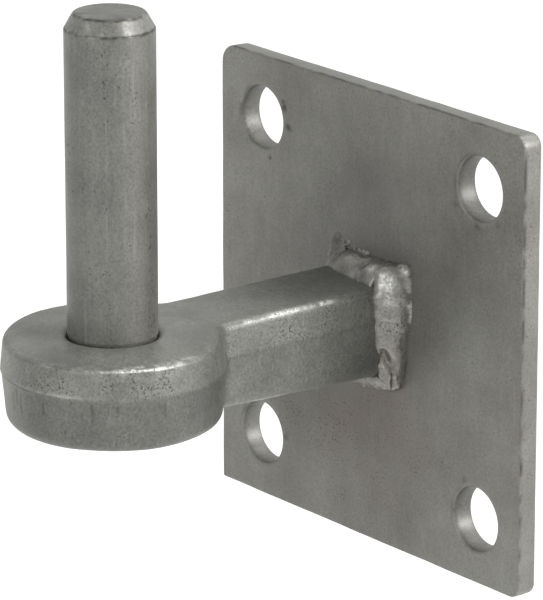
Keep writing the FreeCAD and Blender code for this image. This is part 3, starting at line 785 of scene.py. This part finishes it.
pin = makePin(hingePinBar)
markPin(pin.data, hingePinBar)
finishPiece(pin, "pin_steel", "hinge_pin")


# Welds: overlapping puddles along each run, melted into one lump of metal

weldSizes = dict(
    pitch=1.2, along=0.66, uneven=0.07, voxel=0.24, soften=5, puddleSplits=4, meltBand=1.0, meltLevel=0.1,
    fewest=500, broadScale=240.0, broadHeight=0.55, fineScale=900.0, fineHeight=0.14,
    reliefRounds=12, reliefFull=0.45, edgeWearAndSheen=0.6,
)
# A run's points are (x, y, z, half width), and it lies towards the side that the bead faces. Dents, tone
# with painted light and shade, warm, pitted and painted glints are patches of (x, y, z, radius, amount), and
# grooves are (from, to, width, depth).
weldRuns = dict(
    weld_top=dict(
        seed=3,
        runs=(
            dict(lies=(0.0, -0.92, 0.39), crown=0.30, points=(
                (-10.0, -4.8, 15.9, 1.4), (-9.5, -5.0, 14.0, 2.6), (-9.0, -5.6, 12.0, 3.0))),
            dict(lies=(0.0, -0.62, 0.78), crown=0.50, points=(
                (-8.6, -6.0, 11.0, 3.2), (-5.0, -6.5, 11.1, 3.7), (0.0, -7.0, 11.0, 3.9),
                (5.0, -7.4, 11.1, 4.2), (8.2, -7.6, 11.2, 4.2))),
            dict(lies=(0.0, -1.0, 0.1), crown=0.55, points=(
                (-6.2, -4.6, 14.9, 1.1), (-4.2, -4.6, 14.7, 0.8))),
            dict(lies=(0.0, -1.0, 0.1), crown=0.50, points=(
                (-2.6, -4.6, 14.3, 0.9), (0.2, -4.6, 14.0, 1.0)))),
        dents=((-2.2, -7.2, 13.0, 3.4, -0.4), (6.4, -8.0, 12.4, 3.4, -0.5), (2.2, -8.0, 12.6, 2.4, 0.5)),
        grooves=(((8.6, -4.9, 14.6), (9.3, -11.0, 9.9), 1.0, 0.9),
                 ((-9.0, -4.9, 13.9), (2.6, -4.9, 13.2), 0.6, 0.6)),
        # painted shade on the flare by the plate and on the toe along the arm's top
        toneAndPaintedLight=((-10.0, -5.0, 15.0, 5.0, -0.62), (-7.5, -8.0, 10.6, 4.0, -0.40), (-2.0, -9.6, 10.3, 3.6, -0.4),
              (4.0, -10.4, 10.3, 3.6, -0.4), (2.2, -7.6, 12.6, 2.4, -0.25)),
        # painted glints
        paintedGlints=((-2.2, -6.8, 13.4, 2.2, 0.7), (6.6, -8.2, 12.6, 2.2, 0.8))),
    weld_right=dict(
        seed=7,
        runs=(
            dict(lies=(0.84, -0.54, 0.0), crown=0.48, points=(
                (11.4, -7.4, 12.2, 3.7), (11.9, -7.9, 8.8, 4.5), (12.0, -7.9, 4.0, 4.5),
                (11.6, -7.9, -0.8, 4.2), (11.3, -7.7, -4.0, 3.9), (11.4, -7.0, -8.0, 3.4),
                (11.0, -6.5, -12.2, 2.9))),
            dict(lies=(0.60, -0.80, 0.0), crown=0.50, points=(
                (12.7, -5.4, 13.4, 2.4), (13.1, -5.5, 9.0, 2.7), (13.1, -5.5, 4.0, 2.7),
                (12.3, -5.5, -1.0, 2.5), (12.0, -5.4, -6.0, 2.3), (11.4, -5.1, -12.4, 2.0))),
            dict(lies=(0.35, -0.50, 0.79), crown=0.62, points=(
                (10.6, -6.3, 12.9, 2.7), (10.6, -8.6, 11.2, 2.3), (10.4, -10.2, 9.8, 1.3)))),
        dents=((11.6, -10.6, -6.4, 3.3, 1.35), (14.0, -5.9, 14.0, 2.4, -0.5), (12.6, -7.6, -10.4, 1.3, -0.4),
               (11.4, -8.6, -12.8, 1.0, 0.5), (12.8, -6.2, -12.8, 1.1, -0.4), (10.4, -8.6, -13.4, 1.0, -0.4)),
        grooves=(((12.0, -10.0, -5.0), (12.8, -8.2, -8.2), 1.8, 0.7),
                 ((12.3, -7.6, -9.8), (11.9, -7.2, -14.2), 0.7, 0.55)),
        # painted light on the upper bead, the crater's left facet and the flank by the plate, and painted
        # shade on the crater's right facet
        toneAndPaintedLight=((13.5, -7.5, 11.5, 6.0, 0.20), (11.2, -10.4, -6.6, 2.0, 0.35), (13.2, -8.0, -7.4, 1.8, -0.5),
              (14.8, -5.2, 4.0, 12.0, 0.42), (14.6, -5.3, 9.0, 6.0, 0.35)),
        warm=((12.5, -8.0, -5.0, 9.0, 0.30), (12.0, -7.0, -12.0, 6.0, 0.35)),
        pitted=((13.0, -9.4, 9.5, 2.6, 1.2), (13.2, -9.4, 4.0, 2.6, 1.1), (13.0, -9.6, 0.4, 2.2, 0.8)),
        # painted glints
        paintedGlints=((12.4, -9.6, 11.0, 3.2, 1.3), (12.8, -9.8, 8.0, 2.4, 0.7), (14.4, -5.6, 13.6, 1.6, 0.8))),
    weld_left=dict(
        seed=12,
        runs=(
            dict(lies=(-0.84, -0.54, 0.0), crown=0.50, points=(
                (-11.4, -6.9, 6.0, 3.2), (-11.9, -7.5, 2.6, 4.2), (-11.9, -7.5, -3.0, 4.3),
                (-11.6, -7.3, -8.0, 4.0), (-11.0, -6.9, -12.5, 3.2))),)),
    weld_bottom=dict(
        seed=21, rough=2.2,
        runs=(
            dict(lies=(0.0, -0.6, -0.8), crown=0.50, points=(
                (-8.8, -6.4, -12.4, 3.3), (-4.0, -6.9, -12.9, 4.0), (3.0, -7.0, -13.0, 4.1),
                (9.4, -6.8, -12.5, 3.4))),),
        dents=((6.4, -8.6, -14.6, 1.3, 0.5), (3.4, -8.4, -15.0, 1.2, -0.4), (0.2, -8.8, -14.6, 1.1, 0.4)),
        warm=((3.0, -7.0, -13.0, 14.0, 0.45),),
        pitted=((5.0, -7.0, -14.0, 9.0, 0.7),)),
)


def weldTree(size):
    tree, sizes = newTree("weldRun", (
        ("Pitch", "Float"), ("Along", "Float"), ("Uneven", "Float"), ("Voxel", "Float"), ("Soften", "Int"),
        ("Seed", "Int")))
    path = addNode(tree, "GeometryNodeMeshToCurve", {"Mesh": sizes["Geometry"]})
    spots = addNode(tree, "GeometryNodeCurveToPoints", {
        "Curve": path.outputs[0], "Length": sizes["Pitch"]}, mode="LENGTH")
    reach = addNode(tree, "GeometryNodeInputNamedAttribute", {"Name": "reach"}, data_type="FLOAT")
    least = calc(tree, "SUBTRACT", 1.0, sizes["Uneven"])
    most = calc(tree, "ADD", 1.0, sizes["Uneven"])
    # sockets 2 and 3 and output 1 are the ones for plain numbers
    change = addNode(tree, "FunctionNodeRandomValue", {
        2: least, 3: most, "Seed": sizes["Seed"]}, data_type="FLOAT")
    crown = addNode(tree, "GeometryNodeInputNamedAttribute", {"Name": "crown"}, data_type="FLOAT")
    lies = addNode(tree, "GeometryNodeInputNamedAttribute", {"Name": "lies"}, data_type="FLOAT_VECTOR")
    wide = calc(tree, "MULTIPLY", reach.outputs[0], change.outputs[1])
    tall = calc(tree, "MULTIPLY", wide, crown.outputs[0])
    thin = calc(tree, "MULTIPLY", wide, sizes["Along"])
    scale = addNode(tree, "ShaderNodeCombineXYZ", {"X": tall, "Y": wide, "Z": thin})
    along = addNode(tree, "FunctionNodeAlignRotationToVector", {
        "Vector": spots.outputs["Tangent"]}, axis="Z")
    flat = addNode(tree, "FunctionNodeAlignRotationToVector", {
        "Rotation": along.outputs[0], "Vector": lies.outputs[0]}, axis="X", pivot_axis="Z")
    puddle = addNode(tree, "GeometryNodeMeshIcoSphere", {
        "Radius": 1.0, "Subdivisions": size["puddleSplits"]})
    laid = addNode(tree, "GeometryNodeInstanceOnPoints", {
        "Points": spots.outputs["Points"], "Instance": puddle.outputs[0], "Rotation": flat.outputs[0],
        "Scale": scale.outputs[0]})
    loose = addNode(tree, "GeometryNodeRealizeInstances", {"Geometry": laid.outputs[0]})
    melted = addNode(tree, "GeometryNodeMeshToVolume", {
        "Mesh": loose.outputs[0], "Voxel Size": sizes["Voxel"],
        "Interior Band Width": size["meltBand"] * mm}, resolution_mode="VOXEL_SIZE")
    skin = addNode(tree, "GeometryNodeVolumeToMesh", {
        "Volume": melted.outputs[0], "Voxel Size": sizes["Voxel"],
        "Threshold": size["meltLevel"]}, resolution_mode="VOXEL_SIZE")
    place = addNode(tree, "GeometryNodeInputPosition").outputs[0]
    calm = addNode(tree, "GeometryNodeBlurAttribute", {
        0: place, "Iterations": sizes["Soften"]}, data_type="FLOAT_VECTOR")
    calmed = addNode(tree, "GeometryNodeSetPosition", {
        "Geometry": skin.outputs[0], "Position": calm.outputs[0]})
    endTree(tree, calmed.outputs[0], sizes)
    return tree


def dropSpecks(mesh, fewest):
    # deletes loose bits that have too few vertices to be part of the bead
    builder = bmesh.new()
    builder.from_mesh(mesh)
    specks, known = [], set()
    for start in builder.verts:
        if start in known:
            continue
        known.add(start)
        island = [start]
        for vert in island:
            near = {edge.other_vert(vert) for edge in vert.link_edges} - known
            known |= near
            island += near
        if len(island) < fewest:
            specks += island
    bmesh.ops.delete(builder, geom=specks, context="VERTS")
    builder.to_mesh(mesh)
    builder.free()


def makeWeld(tree, name, runs, seed, size):
    piece = newPiece(name, pathMesh(name, runs))
    growTree(piece, tree, {
        "Pitch": size["pitch"] * mm, "Along": size["along"], "Uneven": size["uneven"],
        "Voxel": size["voxel"] * mm, "Soften": size["soften"], "Seed": seed, **skinValues(size, weldMetal)})
    dropSpecks(piece.data, size["fewest"])
    return piece


weldGrowth = weldTree(weldSizes)
for node, weld in weldRuns.items():
    beadSizes = dict(weldSizes, fineHeight=weldSizes["fineHeight"] * weld.get("rough", 1.0))
    bead = makeWeld(weldGrowth, node.replace("weld_", "weldRun-"), weld["runs"], weld["seed"], beadSizes)
    pressDents(bead.data, weld.get("dents", ()), weld.get("grooves", ()))
    markRelief(bead.data, weldSizes, weld.get("paintedGlints", ()))
    for mark in ("toneAndPaintedLight", "warm", "pitted"):
        keepSpots(bead.data, mark, 0.0, weld.get(mark, ()))
    finishPiece(bead, "weld_metal", node)


# Ring of weld under the eye, round the pin's foot

pinWeldRing = dict(
    at=(0.0, -73.0), radius=10.8, height=-8.7, reach=2.35, steps=48, overlap=2, seed=31,
    lies=(0.0, 0.0, -1.0), crown=0.9, pitch=1.6, broadHeight=0.35,
)


def makePinWeld(size):
    x, y = size["at"]
    run = []
    for i in range(size["steps"] + size["overlap"]):
        angle = 2 * math.pi * i / size["steps"]
        run.append((x + size["radius"] * math.cos(angle), y + size["radius"] * math.sin(angle),
                    size["height"], size["reach"]))
    ring = dict(points=run, lies=size["lies"], crown=size["crown"])
    ringSizes = dict(weldSizes, pitch=size["pitch"], broadHeight=size["broadHeight"])
    return makeWeld(weldGrowth, "pinWeldRing", [ring], size["seed"], ringSizes)


pinWeld = makePinWeld(pinWeldRing)
markRelief(pinWeld.data, weldSizes)
finishPiece(pinWeld, "weld_metal", "pin_weld")


# Floor, light and camera

studio = dict(
    floorAt=-0.70, floorHalf=8.0, floorSteps=12, floorColour=(0.86, 0.86, 0.86), floorGlow=0.80,
    skyLight=0.35,
    camera=dict(azimuth=51.583, elevation=17.397, target=(-0.03912, 0.0, -0.00708), distance=1.0896,
                lens=293.1, sensor=36.0, nearest=0.05, farthest=50.0),
    lamps=(
        dict(name="keyRight", place=(1.15, 0.50, 0.55), size=0.6, power=17.0),
        dict(name="topSoft", place=(0.0, 0.40, 1.25), size=0.8, power=7.0),
        dict(name="frontFill", place=(0.35, -1.4, 0.45), size=0.8, power=6.0),
    ),
)


def makeFloor(size):
    builder = bmesh.new()
    steps = size["floorSteps"]
    bmesh.ops.create_grid(builder, x_segments=steps, y_segments=steps, size=size["floorHalf"])
    bmesh.ops.translate(builder, verts=builder.verts, vec=(0.0, 0.0, size["floorAt"]))
    mesh = bpy.data.meshes.new("floor")
    builder.to_mesh(mesh)
    builder.free()
    material = bpy.data.materials.new("paleFloor")
    material.use_nodes = True
    tree = material.node_tree
    tree.nodes.clear()
    matt = addNode(tree, "ShaderNodeBsdfDiffuse", {"Color": opaque(size["floorColour"])})
    strength = calc(tree, "MULTIPLY", seenDirectly(tree), size["floorGlow"])
    glow = addNode(tree, "ShaderNodeEmission", {"Strength": strength})
    both = addNode(tree, "ShaderNodeAddShader", {0: matt.outputs[0], 1: glow.outputs[0]})
    addNode(tree, "ShaderNodeOutputMaterial", {"Surface": both.outputs[0]})
    mesh.materials.append(material)
    floor = newPiece("floor", mesh)


def seenDirectly(tree):
    # 1 for rays from the camera, from glossy metal and through glass
    path = addNode(tree, "ShaderNodeLightPath").outputs
    seen = calc(tree, "MAXIMUM", path["Is Camera Ray"], path["Is Glossy Ray"])
    return calc(tree, "MAXIMUM", seen, path["Is Transmission Ray"])


def makeSky(size):
    world = bpy.data.worlds.new("studioSky")
    bpy.context.scene.world = world
    world.use_nodes = True
    tree = world.node_tree
    tree.nodes.clear()
    strength = between(tree, seenDirectly(tree), 0.0, 1.0, size["skyLight"], 1.0)
    sky = addNode(tree, "ShaderNodeBackground", {"Color": (1.0, 1.0, 1.0, 1.0), "Strength": strength})
    addNode(tree, "ShaderNodeOutputWorld", {"Surface": sky.outputs[0]})


def makeLamps(size):
    for lamp in size["lamps"]:
        light = bpy.data.lights.new(lamp["name"], "AREA")
        light.shape = "DISK"
        light.size = lamp["size"]
        light.energy = lamp["power"]
        holder = bpy.data.objects.new(lamp["name"], light)
        holder.location = lamp["place"]
        holder.rotation_euler = (-Vector(lamp["place"])).to_track_quat("-Z", "Y").to_euler()
        bpy.context.scene.collection.objects.link(holder)


def makeCamera(size):
    azimuth, elevation = math.radians(size["azimuth"]), math.radians(size["elevation"])
    back = Vector((math.sin(azimuth) * math.cos(elevation), -math.cos(azimuth) * math.cos(elevation),
                   math.sin(elevation)))
    data = bpy.data.cameras.new("camera")
    data.sensor_width = size["sensor"]
    data.lens = size["lens"]
    data.clip_start = size["nearest"]
    data.clip_end = size["farthest"]
    camera = bpy.data.objects.new("camera", data)
    camera.location = Vector(size["target"]) + back * size["distance"]
    camera.rotation_euler = back.to_track_quat("Z", "Y").to_euler()
    bpy.context.scene.collection.objects.link(camera)
    bpy.context.scene.camera = camera


makeFloor(studio)
makeSky(studio)
makeLamps(studio)
makeCamera(studio["camera"])
bpy.context.scene.view_settings.view_transform = "Standard"
print("floor, light and camera placed")
